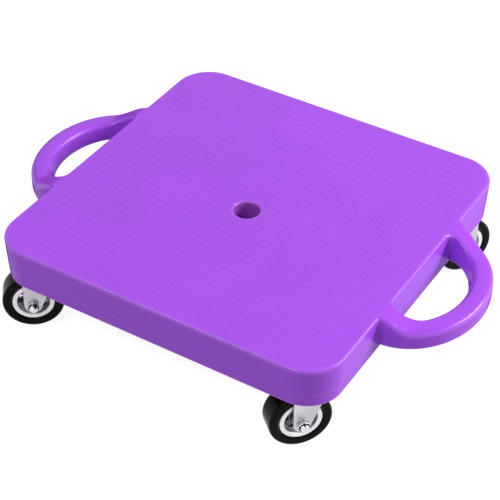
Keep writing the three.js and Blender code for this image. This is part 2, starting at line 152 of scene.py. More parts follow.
def grid_lines(*runs):
    """Places of the grid's planes along one axis, from runs of (start, end, step)."""
    lines = [np.linspace(a, b, round((b - a) / step), endpoint=False) for a, b, step in runs]
    return np.append(np.concatenate(lines), runs[-1][1])


def slope_at(distance, points):
    small = 0.02
    slope = []
    for axis in range(3):
        step = np.zeros(3)
        step[axis] = small
        slope.append((distance(*(points + step).T) - distance(*(points - step).T)) / (2 * small))
    return np.stack(slope, 1)


def surface_mesh(distance, lines_x, lines_y, lines_z):
    """Points, faces and normals of the closed surface on which the distance is zero."""
    lines = (lines_x, lines_y, lines_z)
    shape = [[-1 if a == axis else 1 for a in range(3)] for axis in range(3)]
    field = distance(*(line.reshape(s) for line, s in zip(lines, shape)))
    inside = field < 0
    cells = [n - 1 for n in field.shape]
    total = np.zeros((*cells, 3))
    hits = np.zeros(cells)
    quads = []
    crossed = []
    for axis in range(3):
        others = [(axis + 1) % 3, (axis + 2) % 3]
        low = tuple(slice(0, -1) if a == axis else slice(None) for a in range(3))
        high = tuple(slice(1, None) if a == axis else slice(None) for a in range(3))
        cut = inside[low] != inside[high]
        crossed.append((others, cut, inside[low]))
        drop = np.where(cut, field[low] - field[high], 1)
        start = lines[axis][:-1].reshape(shape[axis])
        step = np.diff(lines[axis]).reshape(shape[axis])
        along = start + step * np.where(cut, field[low] / drop, 0)
        for u in (0, 1):
            for v in (0, 1):
                pick = [slice(None)] * 3
                for other, offset in zip(others, (u, v)):
                    pick[other] = slice(offset, offset + cells[other])
                hit = cut[tuple(pick)]
                hits += hit
                total[..., axis] += np.where(hit, along[tuple(pick)], 0)
                for other, offset in zip(others, (u, v)):
                    line = lines[other][offset:offset + cells[other]].reshape(shape[other])
                    total[..., other] += np.where(hit, line, 0)
    number = np.full(cells, -1)
    number[hits > 0] = np.arange((hits > 0).sum())
    points = total[hits > 0] / hits[hits > 0][:, None]
    for others, cut, leaves in crossed:
        place = np.argwhere(cut)
        ring = []
        for u, v in ((1, 1), (0, 1), (0, 0), (1, 0)):
            corner = place.copy()
            corner[:, others[0]] -= u
            corner[:, others[1]] -= v
            ring.append(number[tuple(corner.T)])
        ring = np.stack(ring, 1)
        backwards = ~leaves[cut]
        ring[backwards] = ring[backwards][:, ::-1]
        quads.append(ring)
    settling_rounds, least_slope, longest_move = 3, 0.2, 0.6
    for _ in range(settling_rounds):
        slope = slope_at(distance, points)
        away = distance(*points.T) / np.maximum((slope ** 2).sum(1), least_slope)
        points = points - slope * np.clip(away, -longest_move, longest_move)[:, None]
    slope = slope_at(distance, points)
    return points, np.concatenate(quads), slope / np.linalg.norm(slope, axis=1)[:, None]


def solid_piece(name, surface, body, material, replaced, placing=None):
    """A closed piece that rides on a body and stands for the named nodes."""
    points, faces, normals = surface
    placing = np.eye(4) if placing is None else np.array(placing)
    points = points @ placing[:3, :3].T + placing[:3, 3]
    mesh = bpy.data.meshes.new(name)
    mesh.from_pydata((points / 1000).tolist(), [], [list(face) for face in faces])
    mesh.polygons.foreach_set("use_smooth", [True] * len(mesh.polygons))
    mesh.normals_split_custom_set_from_vertices((normals @ placing[:3, :3].T).tolist())
    mesh.materials.append(material)
    return dressed(bpy.data.objects.new(name, mesh), body, replaced)


def dressed(made, body, replaced):
    if made.name not in bpy.context.scene.collection.objects:
        bpy.context.scene.collection.objects.link(made)
    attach(made, body)
    if replaced:
        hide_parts(*replaced)
    return made


def node_maths(tree, kind, a, b=0.0):
    node = tree.nodes.new("ShaderNodeMath")
    node.operation = kind
    for socket, value in zip(node.inputs, (a, b)):
        if isinstance(value, (int, float)):
            socket.default_value = value
        else:
            tree.links.new(value, socket)
    return node.outputs[0]


def node_span(tree, value, low, high, to_low, to_high):
    node = tree.nodes.new("ShaderNodeMapRange")
    for name, number in (("From Min", low), ("From Max", high), ("To Min", to_low), ("To Max", to_high)):
        node.inputs[name].default_value = number
    tree.links.new(value, node.inputs["Value"])
    return node.outputs["Result"]


def colour_over(tree, share, under, rgb):
    """The colour under it, with another one mixed over it by the share."""
    mix = tree.nodes.new("ShaderNodeMix")
    mix.data_type = "RGBA"
    mix.inputs["B"].default_value = (*rgb, 1)
    tree.links.new(share, mix.inputs["Factor"])
    tree.links.new(under, mix.inputs["A"])
    return mix.outputs["Result"]


# Mould or press grain and a slow mottling, shared by the plastics, the rubber and the metals
grain = bpy.data.node_groups.new("surface_grain", "ShaderNodeTree")
grain.interface.new_socket("Place", in_out="INPUT", socket_type="NodeSocketVector")
for name in ("Grain Scale", "Mottle Scale"):
    grain.interface.new_socket(name, in_out="INPUT", socket_type="NodeSocketFloat")
for name in ("Height", "Mottle"):
    grain.interface.new_socket(name, in_out="OUTPUT", socket_type="NodeSocketFloat")
grain_in = grain.nodes.new("NodeGroupInput")
grain_out = grain.nodes.new("NodeGroupOutput")
for scale_name, result, detail in (("Grain Scale", "Height", 2), ("Mottle Scale", "Mottle", 4)):
    texture = grain.nodes.new("ShaderNodeTexNoise")
    texture.inputs["Detail"].default_value = detail
    grain.links.new(grain_in.outputs["Place"], texture.inputs["Vector"])
    grain.links.new(grain_in.outputs[scale_name], texture.inputs["Scale"])
    grain.links.new(texture.outputs["Fac"], grain_out.inputs[result])


def grained_material(name, rgb, change, metallic, rough, specular, grain_scale, mottle_scale, depth):
    """Material whose colour, gloss and height vary with the shared grain."""
    made = bpy.data.materials.new(name)
    made.use_nodes = True
    made.diffuse_color = (*rgb, 1)
    tree = made.node_tree
    shader = tree.nodes["Principled BSDF"]
    shader.inputs["Metallic"].default_value = metallic
    shader.inputs["Specular IOR Level"].default_value = specular
    place = tree.nodes.new("ShaderNodeTexCoord").outputs["Object"]
    marks = tree.nodes.new("ShaderNodeGroup")
    marks.node_tree = grain
    marks.inputs["Grain Scale"].default_value = grain_scale
    marks.inputs["Mottle Scale"].default_value = mottle_scale
    tree.links.new(place, marks.inputs["Place"])
    mottle = node_span(tree, marks.outputs["Mottle"], 0.3, 0.7, 0, 1)
    tint = tree.nodes.new("ShaderNodeMix")
    tint.data_type = "RGBA"
    tint.inputs["A"].default_value = (*[c * (1 - change) for c in rgb], 1)
    tint.inputs["B"].default_value = (*[min(c * (1 + change), 1) for c in rgb], 1)
    tree.links.new(mottle, tint.inputs["Factor"])
    tree.links.new(tint.outputs["Result"], shader.inputs["Base Color"])
    tree.links.new(node_span(tree, mottle, 0, 1, *rough), shader.inputs["Roughness"])
    bump = tree.nodes.new("ShaderNodeBump")
    bump.inputs["Distance"].default_value = depth
    tree.links.new(marks.outputs["Height"], bump.inputs["Height"])
    tree.links.new(bump.outputs["Normal"], shader.inputs["Normal"])
    return made, tree, shader, place, tint, bump


deck_plastic, tree, shader, place, tint, bump = grained_material(
    "purple_deck_plastic", rgb=(0.385, 0.080, 0.80), change=0.03, metallic=0, rough=(0.25, 0.32),
    specular=0.125, grain_scale=900, mottle_scale=14, depth=0.000012)

# Fine square grid pressed into the deck's top, short of its edge: each cell stands up a little, and the
# grooves between are coloured a darker purple as painted shade
grid_cell, groove_half, grid_depth, groove_shade_tint = 7.5, 0.975, 0.14, 0.32
grid_end, grid_gone, below_top, near_the_top = 140.5, 141.2, 0.5, 0.1
axes = tree.nodes.new("ShaderNodeSeparateXYZ")
tree.links.new(place, axes.inputs[0])
between = [node_span(tree, node_maths(tree, "PINGPONG", axes.outputs[a], grid_cell / 2000),
                     0, groove_half / 1000, 1, 0) for a in ("X", "Y")]
reach = node_maths(tree, "MAXIMUM", *(node_maths(tree, "ABSOLUTE", axes.outputs[a]) for a in ("X", "Y")))
on_top = node_maths(
    tree, "MULTIPLY", node_span(tree, reach, grid_end / 1000, grid_gone / 1000, 1, 0),
    node_span(tree, axes.outputs["Z"], (deck_top - below_top) / 1000, (deck_top - near_the_top) / 1000, 0, 1))
groove = node_maths(tree, "MULTIPLY", node_maths(tree, "MAXIMUM", *between), on_top)
pressed = tree.nodes.new("ShaderNodeBump")
pressed.invert = True
pressed.inputs["Distance"].default_value = grid_depth / 1000
tree.links.new(groove, pressed.inputs["Height"])
tree.links.new(bump.outputs["Normal"], pressed.inputs["Normal"])
tree.links.new(pressed.outputs["Normal"], shader.inputs["Normal"])
# The grooves take a darker purple: painted shade in them
groove_shade_share = node_maths(tree, "MULTIPLY", groove, groove_shade_tint)
shaded_grooves = colour_over(tree, groove_shade_share, tint.outputs["Result"], rgb=(0.34, 0.065, 0.73))

# The wall of the hole is coloured darker: painted shade inside the hole
shade_within, shade_gone, shade_share = 0.3, 1.0, 0.75
beside_hole = node_maths(tree, "ADD", axes.outputs["Y"], -hole_middle_y / 1000)
square = [node_maths(tree, "MULTIPLY", value, value) for value in (axes.outputs["X"], beside_hole)]
hole_shade = node_span(tree, node_maths(tree, "SQRT", node_maths(tree, "ADD", *square)),
                    (hole_radius + shade_within) / 1000, (hole_radius + shade_gone) / 1000, shade_share, 0)
# Painted shade: a dark purple mixed over the deck colour on the hole's wall
tree.links.new(colour_over(tree, hole_shade, shaded_grooves, rgb=(0.30, 0.07, 0.40)), shader.inputs["Base Color"])

# Rounded edges are polished by hands and knees, the slopes at the handles' roots stay dull, and every
# face loses its shine at a slant
ramp_dullness, edge_shine, slant_start, slant_end = 0.4, 0.60, 0.45, 0.82
edge = tree.nodes.new("ShaderNodeAttribute")
edge.attribute_name = "edge"
slant = tree.nodes.new("ShaderNodeLayerWeight")
shine = node_maths(tree, "MULTIPLY", node_span(tree, edge.outputs["Fac"], -ramp_dullness, 1, 0, edge_shine),
                   node_span(tree, slant.outputs["Facing"], slant_start, slant_end, 1, 0))
tree.links.new(shine, shader.inputs["Specular IOR Level"])

# The grid that the surface is found on is fine at the hole, the edges and the handles, and coarse on
# the flat
half_x = grid_lines((0, 16, 1), (16, 100, 6), (100, 146, 2), (146, 152.5, 0.65), (152.5, 206.9, 1.6))
half_y = grid_lines((34, 92, 1.6), (92, 146, 2), (146, 152.5, 0.65))
middle_y = grid_lines((-34, -26, 2.7), (-26, 6, 1), (6, 34, 2.8))
deck_surface = surface_mesh(
    deck_distance, np.append(-half_x[:0:-1], half_x),
    np.concatenate([-half_y[:0:-1], middle_y, half_y[1:]]),
    grid_lines((55.4, 59, 0.6), (59, 63, 2), (63, 70, 0.7), (70, 78, 2), (78, 88, 1.1), (88, 94.5, 0.6)))
deck_moulding = solid_piece("deck_moulding", deck_surface, "board", deck_plastic, ["deck"])

# An edge is where the surface bends within a few millimetres, and a ramp where a handle's top slopes
bend_reach, bend_from, bend_full = 0.5, 0.12, 0.20
slope_steep, slope_full, slope_gentle, slope_flat, edge_steep = 0.6, 0.7, 0.96, 0.99, 0.8
deck_points, upward = deck_surface[0], deck_surface[2][:, 2]
steps = np.vstack([np.eye(3), -np.eye(3)]) * bend_reach
around_it = [deck_distance(*(deck_points + step).T) for step in steps]
bend = (sum(around_it) - len(around_it) * deck_distance(*deck_points.T)) / bend_reach ** 2
on_handle = np.abs(deck_points[:, 0]) > deck_half - top_round
on_ramp = fade(upward, slope_steep, slope_full) * fade(upward, slope_flat, slope_gentle) * on_handle
edge_share = fade(bend, bend_from, bend_full) * (1 - on_ramp * (upward > edge_steep))
edge_share = edge_share - ramp_dullness * on_ramp
deck_moulding.data.attributes.new("edge", "FLOAT", "POINT").data.foreach_set("value", edge_share)


# Ribs under the deck: thin upright walls of the same plastic in a square grid, drawn from the
# underside of the skin. They stop at the corner blocks and at the wall round the hole.
rib_count, rib_pitch, rib_low, rib_half_top, rib_half_low = 7, 36.1, 58.3, 1.5, 1.25
rib_into_skin, rib_into_wall, rib_bevel_across, rib_bevel_up = 0.6, 0.8, 0.5, 0.6
block_margin, block_middle, block_tall = 1.5, 72.0, 60.0
bore_margin, bore_sides, bore_middle, bore_tall = 2.0, 48, 70.0, 200.0


def rib_bar(length):
    """One rib along X, a little thinner and bevelled at its free edge."""
    side = [(rib_half_top, skin_underside + rib_into_skin), (rib_half_low, rib_low + rib_bevel_up),
            (rib_half_low - rib_bevel_across, rib_low)]
    outline = [(-y, z) for y, z in side] + side[::-1]
    points = [(x, y, z) for x in (-length / 2, length / 2) for y, z in outline]
    count = len(outline)
    faces = [(i, (i + 1) % count, count + (i + 1) % count, count + i) for i in range(count)]
    faces += [tuple(range(count - 1, -1, -1)), tuple(range(count, 2 * count))]
    mesh = bpy.data.meshes.new("rib_bar")
    mesh.from_pydata([tuple(c / 1000 for c in p) for p in points], [], faces)
    return bpy.data.objects.new("rib_bar", mesh)


def geometry_tree(name, inputs):
    """Empty Geometry Nodes tree with the named inputs, and its input and output nodes."""
    made = bpy.data.node_groups.new(name, "GeometryNodeTree")
    made.interface.new_socket("Geometry", in_out="INPUT", socket_type="NodeSocketGeometry")
    for label, kind in inputs:
        made.interface.new_socket(label, in_out="INPUT", socket_type=kind)
    made.interface.new_socket("Geometry", in_out="OUTPUT", socket_type="NodeSocketGeometry")
    return made, made.nodes.new("NodeGroupInput").outputs, made.nodes.new("NodeGroupOutput").inputs


def geometry_step(made, kind, *inputs):
    """What a new node of this kind puts out, with its inputs linked to sockets or set to plain values."""
    node = made.nodes.new("GeometryNode" + kind)
    for name, value in inputs:
        if isinstance(value, bpy.types.NodeSocket):
            made.links.new(value, node.inputs[name])
        else:
            node.inputs[name].default_value = value
    return node.outputs["Geometry"] if "Geometry" in node.outputs else node.outputs[0]


def real_copies(made, points, instance, *turn):
    """A real copy of the instance on each of the points."""
    copies = geometry_step(made, "InstanceOnPoints", ("Points", points), ("Instance", instance), *turn)
    return geometry_step(made, "RealizeInstances", ("Geometry", copies))


def coated_result(made, geometry, given, result):
    """Ends the tree with its material on the geometry."""
    coat = geometry_step(made, "SetMaterial", ("Geometry", geometry), ("Material", given["Material"]))
    made.links.new(coat, result["Geometry"])


def grown_mesh(made, name, start, values):
    """Plain mesh that the tree makes from the start mesh with the given input values."""
    holder = bpy.data.objects.new(name, start)
    bpy.context.scene.collection.objects.link(holder)
    modifier = holder.modifiers.new("grown", "NODES")
    modifier.node_group = made
    for item in made.interface.items_tree:
        if item.in_out == "INPUT" and item.name in values:
            modifier[item.identifier] = values[item.name]
    holder.update_tag()
    bpy.context.view_layer.update()
    ready = holder.evaluated_get(bpy.context.evaluated_depsgraph_get())
    mesh = bpy.data.meshes.new_from_object(ready)
    mesh.name = name
    bpy.data.objects.remove(holder)
    return mesh


def points_mesh(name, places):
    mesh = bpy.data.meshes.new(name)
    mesh.from_pydata([tuple(c / 1000 for c in p) for p in places], [], [])
    return mesh


rib_tree, given, result = geometry_tree("rib_grid", [
    ("Rib", "NodeSocketObject"), ("Count", "NodeSocketInt"), ("First", "NodeSocketVector"),
    ("Pitch", "NodeSocketVector"), ("Turn", "NodeSocketVector"), ("Hole", "NodeSocketVector"),
    ("Hole Radius", "NodeSocketFloat"), ("Block Size", "NodeSocketVector"),
    ("Material", "NodeSocketMaterial")])
bar = geometry_step(rib_tree, "ObjectInfo", ("Object", given["Rib"]))
row = geometry_step(rib_tree, "MeshLine", ("Count", given["Count"]), ("Start Location", given["First"]),
                    ("Offset", given["Pitch"]))
ribs = geometry_step(rib_tree, "Transform", ("Geometry", real_copies(rib_tree, row, bar)),
                     ("Rotation", given["Turn"]))
bore = geometry_step(rib_tree, "MeshCylinder", ("Vertices", bore_sides), ("Depth", bore_tall / 1000),
                     ("Radius", given["Hole Radius"]))
bore = geometry_step(rib_tree, "Transform", ("Geometry", bore), ("Translation", given["Hole"]))
block = geometry_step(rib_tree, "MeshCube", ("Size", given["Block Size"]))
blocks = real_copies(rib_tree, given["Geometry"], block)
cut = geometry_step(rib_tree, "MeshBoolean", ("Mesh 1", ribs), ("Mesh 2", bore), ("Mesh 2", blocks))
cut.node.operation = "DIFFERENCE"
cut.node.solver = "EXACT"
coated_result(rib_tree, cut, given, result)
rib = rib_bar(2 * (deck_half - side_draft - rim_wall + rib_into_wall))
first_rib = -rib_pitch * (rib_count - 1) / 2
block_x, block_y = deck_half - block_low_x - block_margin, deck_half - block_low_y - block_margin
block_out_x, block_out_y = deck_half - block_x / 2, deck_half - block_y / 2
block_places = [(sx * block_out_x, sy * block_out_y, block_middle) for sx in (-1, 1) for sy in (-1, 1)]
for name, turn in (("deck_ribs_along", 0), ("deck_ribs_across", math.pi / 2)):
    grown = grown_mesh(rib_tree, name, points_mesh(name, block_places), {
        "Rib": rib, "Count": rib_count, "First": (0, first_rib / 1000, 0),
        "Pitch": (0, rib_pitch / 1000, 0), "Turn": (0, 0, turn),
        "Hole": (0, hole_middle_y / 1000, bore_middle / 1000),
        "Hole Radius": (hole_radius + bore_margin) / 1000,
        "Block Size": (block_x / 1000, block_y / 1000, block_tall / 1000), "Material": deck_plastic})
    dressed(bpy.data.objects.new(name, grown), "board", ["deck"])
bpy.data.objects.remove(rib)


# Caster mounting plates: four zinc-plated steel plates with round corners, pressed flat, one in the
# seat of each corner block. The caster's kingpin goes through the middle and a screw through each corner.
plate_half_x, plate_half_y, plate_corner = 19.0, 22.0, 10.0
plate_bottom, plate_top, plate_edge = 61.8, 64.0, 0.6
screw_spread_x, screw_spread_y, screw_hole, kingpin_hole, hole_edge = 13.0, 16.0, 2.3, 4.3, 0.4

zinc, *_ = grained_material(
    "bright_zinc_plating", rgb=(0.50, 0.49, 0.52), change=0.14, metallic=1, rough=(0.22, 0.40),
    specular=0.5, grain_scale=500, mottle_scale=60, depth=0.00003)


def plate_distance(x, y, z):
    plate = rounded_bar(rounded_plan(x, y, plate_half_x, plate_half_y, plate_corner),
                        z, plate_bottom, plate_top, plate_edge, plate_edge)
    screws = screw_hole - np.hypot(np.abs(x) - screw_spread_x, np.abs(y) - screw_spread_y)
    middle = kingpin_hole - np.hypot(x, y)
    return soft_meet(soft_meet(plate, screws, hole_edge), middle, hole_edge)


plate_surface = surface_mesh(
    plate_distance, grid_lines((-plate_half_x - 1, plate_half_x + 1, 0.8)),
    grid_lines((-plate_half_y - 1, plate_half_y + 1, 0.8)), grid_lines((61.4, 64.4, 0.3)))
corners = ("front_right", "front_left", "back_right", "back_left")
joint_at = {joint["name"]: Vector(joint["pos_m"]) * 1000 for joint in frame["record"]["behaviour"]["joints"]}
pins = {corner: Vector((*joint_at[corner + "_swivel_turn"].xy, 0)) for corner in corners}
for corner in corners:
    solid_piece(corner + "_mounting_plate", plate_surface, "board", zinc,
                [corner + "_plate"], Matrix.Translation(pins[corner]))


# Plate screws: sixteen pan-head wood screws with a cross recess, zinc plated, driven up through the
# plates into the corner blocks. No two stand at the same turn, as when they are driven by hand.
screw_seat, screw_tip, screw_head_height = 61.5, 78.0, 2.3
screw_head_radius, screw_shank = 3.8, 2.0
recess_long, recess_wide, recess_deep = 2.0, 0.42, 1.3
screw_point, screw_into_head, head_round, neck_round, recess_round = 4.0, 0.5, 0.5, 0.4, 0.3


def screw_distance(x, y, z):
    across = np.hypot(x, y)
    dome = (screw_head_radius ** 2 + screw_head_height ** 2) / (2 * screw_head_height)
    head = np.hypot(across, z - screw_seat + screw_head_height - dome) - dome
    head = soft_meet(head, z - screw_seat, head_round)
    shank = np.maximum(across - screw_shank * fade(z, screw_tip, screw_tip - screw_point),
                       screw_seat - screw_into_head - z)
    arms = np.minimum(np.maximum(np.abs(x) - recess_long, np.abs(y) - recess_wide),
                      np.maximum(np.abs(y) - recess_long, np.abs(x) - recess_wide))
    recess = np.maximum(arms, z - screw_seat + screw_head_height - recess_deep)
    whole = soft_union(head, np.maximum(shank, z - screw_tip), neck_round)
    return soft_meet(whole, -recess, recess_round)


screw_lines = grid_lines((-4.1, 4.1, 0.37))
screw_surface = surface_mesh(screw_distance, screw_lines, screw_lines,
                             grid_lines((58.8, 62, 0.32), (62, 74, 3), (74, 78.6, 0.6)))


def template(name, surface):
    """Object that a geometry tree copies, with its middle on the origin of the plan."""
    points, faces, _ = surface
    mesh = bpy.data.meshes.new(name)
    mesh.from_pydata((points / 1000).tolist(), [], [list(face) for face in faces])
    mesh.polygons.foreach_set("use_smooth", [True] * len(mesh.polygons))
    return bpy.data.objects.new(name, mesh)


screw_tree, given, result = geometry_tree("screw_pattern", [
    ("Screw", "NodeSocketObject"), ("Spread X", "NodeSocketFloat"), ("Spread Y", "NodeSocketFloat"),
    ("Seed", "NodeSocketInt"), ("Material", "NodeSocketMaterial")])
one_screw = geometry_step(screw_tree, "ObjectInfo", ("Object", given["Screw"]))
pattern = geometry_step(screw_tree, "MeshGrid", ("Vertices X", 2), ("Vertices Y", 2),
                        ("Size X", given["Spread X"]), ("Size Y", given["Spread Y"]))
holes = real_copies(screw_tree, given["Geometry"], pattern)
driven = screw_tree.nodes.new("FunctionNodeRandomValue")
driven.inputs["Max"].default_value = math.pi / 2
driven_turn = next(socket for socket in driven.outputs if socket.type == "VALUE" and socket.enabled)
turn_vector = screw_tree.nodes.new("ShaderNodeCombineXYZ")
screw_tree.links.new(given["Seed"], driven.inputs["Seed"])
screw_tree.links.new(driven_turn, turn_vector.inputs["Z"])
in_holes = real_copies(screw_tree, holes, one_screw, ("Rotation", turn_vector.outputs[0]))
coated_result(screw_tree, in_holes, given, result)
screw = template("pan_head_screw", screw_surface)
screws = grown_mesh(screw_tree, "plate_screws", points_mesh("pin_points", pins.values()), {
    "Screw": screw, "Spread X": 2 * screw_spread_x / 1000, "Spread Y": 2 * screw_spread_y / 1000,
    "Seed": 4, "Material": zinc})
dressed(bpy.data.objects.new("plate_screws", screws), "board",
        [f"{corner}_screw_{number}" for corner in corners for number in (1, 2, 3, 4)])
bpy.data.objects.remove(screw)


# Bearing cups and kingpins: a pressed steel cup under each plate holds the balls in, and a rivet with
# a domed head at each end joins plate, cup and fork. Both are turned shapes with softly worn edges.
cup_top, cup_sheet, cup_depth, cup_radius = 61.5, 1.6, 4.0, 16.5
cup_bore_round, cup_rim_inner, cup_rim_outer, cup_bend_inner, cup_bend_outer = 0.2, 0.3, 0.4, 1.2, 1.4
pin_radius, pin_head, pin_high, pin_low = 4.0, 6.5, 64.3, 52.2
pin_head_high, pin_head_low, pin_side_high, pin_side_low = 2.4, 1.2, 0.7, 0.35
pin_dome_share, pin_dome_round, pin_seat_round, pin_round, pin_side_round = 0.55, 1.6, 0.12, 0.3, 0.4


def rounded_outline(corner_list, steps):
    """Points and outward normals of an outline of (radius, height, round) corners, run anticlockwise."""
    points, normals = [], []
    count = len(corner_list)
    for index, (radius, height, fillet) in enumerate(corner_list):
        here = np.array((radius, height))
        if radius == 0:
            points.append(here)
            normals.append(np.array((0.0, -1.0 if index == 0 else 1.0)))
            continue
        came = here - np.array(corner_list[index - 1][:2])
        goes = np.array(corner_list[(index + 1) % count][:2]) - here
        came, goes = came / np.hypot(*came), goes / np.hypot(*goes)
        bend = math.atan2(came[0] * goes[1] - came[1] * goes[0], came @ goes)
        side = math.copysign(1, bend)
        first = np.array((came[1], -came[0]))
        centre = here - came * fillet * math.tan(abs(bend) / 2) - first * side * fillet
        for step in range(steps + 1):
            c, s = math.cos(bend * step / steps), math.sin(bend * step / steps)
            normal = np.array((c * first[0] - s * first[1], s * first[0] + c * first[1]))
            points.append(centre + normal * side * fillet)
            normals.append(normal)
    return np.array(points), np.array(normals)


def spun(corner_list, around, steps=4):
    """Closed surface from turning an outline about the upright axis."""
    outline, tilt = rounded_outline(corner_list, steps)
    open_ended = corner_list[0][0] == 0
    points, normals, rings = [], [], []
    for (radius, height), (out, up) in zip(outline, tilt):
        copies = 1 if radius == 0 else around
        rings.append([len(points) + (j if copies > 1 else 0) for j in range(around)])
        for j in range(copies):
            c, s = math.cos(math.tau * j / around), math.sin(math.tau * j / around)
            points.append((radius * c, radius * s, height))
            normals.append((out * c, out * s, up))
    faces = []
    for i in range(len(rings) - open_ended):
        low, high = rings[i], rings[(i + 1) % len(rings)]
        for j in range(around):
            k = (j + 1) % around
            face = dict.fromkeys((low[j], low[k], high[k], high[j]))
            faces.append(tuple(face))
    return np.array(points), faces, np.array(normals)


cup_surface = spun([
    (kingpin_hole, cup_top - cup_sheet, cup_bore_round),
    (cup_radius - cup_sheet, cup_top - cup_sheet, cup_bend_inner),
    (cup_radius - cup_sheet, cup_top - cup_depth, cup_rim_inner),
    (cup_radius, cup_top - cup_depth, cup_rim_outer),
    (cup_radius, cup_top, cup_bend_outer), (kingpin_hole, cup_top, cup_bore_round)], around=96)
pin_surface = spun([
    (0, pin_low - pin_head_low, 0), (pin_head * pin_dome_share, pin_low - pin_head_low, pin_dome_round),
    (pin_head, pin_low - pin_side_low, pin_round), (pin_head, pin_low, pin_seat_round),
    (pin_radius, pin_low, pin_round), (pin_radius, pin_high, pin_round),
    (pin_head, pin_high, pin_seat_round), (pin_head, pin_high + pin_side_high, pin_side_round),
    (pin_head * pin_dome_share, pin_high + pin_head_high, pin_dome_round),
    (0, pin_high + pin_head_high, 0)], around=64)
for corner in corners:
    for name, surface, node in (("_pressed_cup", cup_surface, "_bearing_cup"),
                                ("_kingpin_rivet", pin_surface, "_kingpin")):
        solid_piece(corner + name, surface, "board", zinc, [corner + node],
                    Matrix.Translation(pins[corner]))


# Ball rings: a circle of loose steel balls in each cup, on which the fork swivels. The balls show as a
# bright row in the gap between the cup's rim and the fork's crown.
ball_count, ball_radius, ball_circle, ball_middle = 15, 2.4, 12.2, 57.2

bearing, *_ = grained_material(
    "polished_bearing_steel", rgb=(0.44, 0.44, 0.47), change=0.08, metallic=1, rough=(0.10, 0.20),
    specular=0.5, grain_scale=400, mottle_scale=90, depth=0.00001)
ball_tree, given, result = geometry_tree("ball_circle", [
    ("Count", "NodeSocketInt"), ("Circle Radius", "NodeSocketFloat"), ("Ball Radius", "NodeSocketFloat"),
    ("Material", "NodeSocketMaterial")])
circle = geometry_step(ball_tree, "MeshCircle", ("Vertices", given["Count"]),
                       ("Radius", given["Circle Radius"]))
ball = geometry_step(ball_tree, "MeshIcoSphere", ("Subdivisions", 4), ("Radius", given["Ball Radius"]))
balls = real_copies(ball_tree, real_copies(ball_tree, given["Geometry"], circle), ball)
coated_result(ball_tree, geometry_step(ball_tree, "SetShadeSmooth", ("Geometry", balls)), given, result)
for corner in corners:
    place_of_ring = points_mesh("ring_point", [pins[corner] + Vector((0, 0, ball_middle))])
    ring = grown_mesh(ball_tree, corner + "_ball_circle", place_of_ring, {
        "Count": ball_count, "Circle Radius": ball_circle / 1000, "Ball Radius": ball_radius / 1000,
        "Material": bearing})
    dressed(bpy.data.objects.new(corner + "_ball_circle", ring), corner + "_swivel",
            [corner + "_ball_ring"])


# Caster forks: each is one sheet of zinc-plated steel, pressed into a round crown that hangs on the
# kingpin and drawn down on both sides of the wheel. A stepped-in web stiffens each leg ahead of the axle.
trail, axle_height, sheet_steel = 12.0, 25.0, 2.0
fork_half, fork_top, fork_end, crown_radius, fork_bend = 13.5, 54.5, 7.5, 15.5, 3.0
web_step, web_start, web_end, web_top, web_full = 1.0, 5.6, 7.8, 47.0, 41.0
axle_hole, sheet_edge, crown_fillet, axle_hole_edge = 3.3, 0.9, 1.2, 0.3


def fork_leg_outline(x, z):
    """Side of a leg: upright behind the axle, a slope in front of it, and a round end."""
    drop_x, drop_z = -crown_radius / 2 - trail, fork_top - sheet_steel - axle_height
    lean = math.atan2(drop_z, drop_x) + math.acos(fork_end / math.hypot(drop_x, drop_z))
    ahead, above = x - trail, z - axle_height
    slope = ahead * math.cos(lean) + above * math.sin(lean) - fork_end
    straight = np.maximum(np.maximum(slope, ahead - fork_end), -crown_radius / 2 - x)
    below = np.mod(np.arctan2(above, ahead), math.tau) > lean % math.tau
    return np.where(below, np.hypot(ahead, above) - fork_end, straight)


def fork_distance(x, y, z):
    """Fork about its kingpin, with the wheel trailing along +X."""
    webbed = smooth_fade(x, trail - web_start, trail - web_end) * fade(z, web_top, web_full)
    across = np.abs(y) + web_step * webbed
    out, up = across - fork_half + fork_bend, z - fork_top + fork_bend
    bent = np.minimum(np.maximum(out, up), 0) + np.hypot(np.maximum(out, 0), np.maximum(up, 0)) - fork_bend
    channel = soft_meet(np.abs(bent + sheet_steel / 2) - sheet_steel / 2, fork_leg_outline(x, z), sheet_edge)
    crown = soft_meet(np.hypot(x, y) - crown_radius,
                      np.abs(z - fork_top + sheet_steel / 2) - sheet_steel / 2, sheet_edge)
    fork = soft_union(channel, crown, crown_fillet)
    fork = soft_meet(fork, kingpin_hole - np.hypot(x, y), hole_edge)
    return soft_meet(fork, axle_hole - np.hypot(x - trail, z - axle_height), axle_hole_edge)


fork_half_y = grid_lines((9.2, 14.3, 0.5), (14.3, 16.1, 0.6))
fork_surface = surface_mesh(
    fork_distance, grid_lines((-16.1, 20.3, 0.7)),
    np.concatenate([-fork_half_y[::-1], grid_lines((-8.2, 8.2, 1.1)), fork_half_y]),
    grid_lines((16.9, 48, 0.75), (48, 55.3, 0.5)))
placings = {}
for corner in corners:
    away = joint_at[corner + "_wheel_spin"] - joint_at[corner + "_swivel_turn"]
    placings[corner] = Matrix.Translation(pins[corner]) @ Matrix.Rotation(math.atan2(away.y, away.x), 4, "Z")
    solid_piece(corner + "_pressed_fork", fork_surface, corner + "_swivel", zinc,
                [corner + "_fork"], placings[corner])


# Axle bolts: a hexagon-head steel bolt goes through each fork from one side, with its head chamfered
# and its shank hidden in the sleeve. It is zinc plated like the fork.
bolt_across, bolt_seat, bolt_height, bolt_shank, bolt_end = 10.0, 13.8, 4.0, 3.0, 16.4
bolt_into_head, bolt_edge, chamfer_edge, chamfer_out, chamfer_up = 1.0, 0.5, 0.3, 0.5, 0.86


def hexagon_distance(x, y, half_across):
    part_x, part_y = x * 0.5, y * math.sqrt(0.75)
    slanted = np.maximum(np.abs(part_x + part_y), np.abs(part_x - part_y))
    return np.maximum(np.abs(x), slanted) - half_across


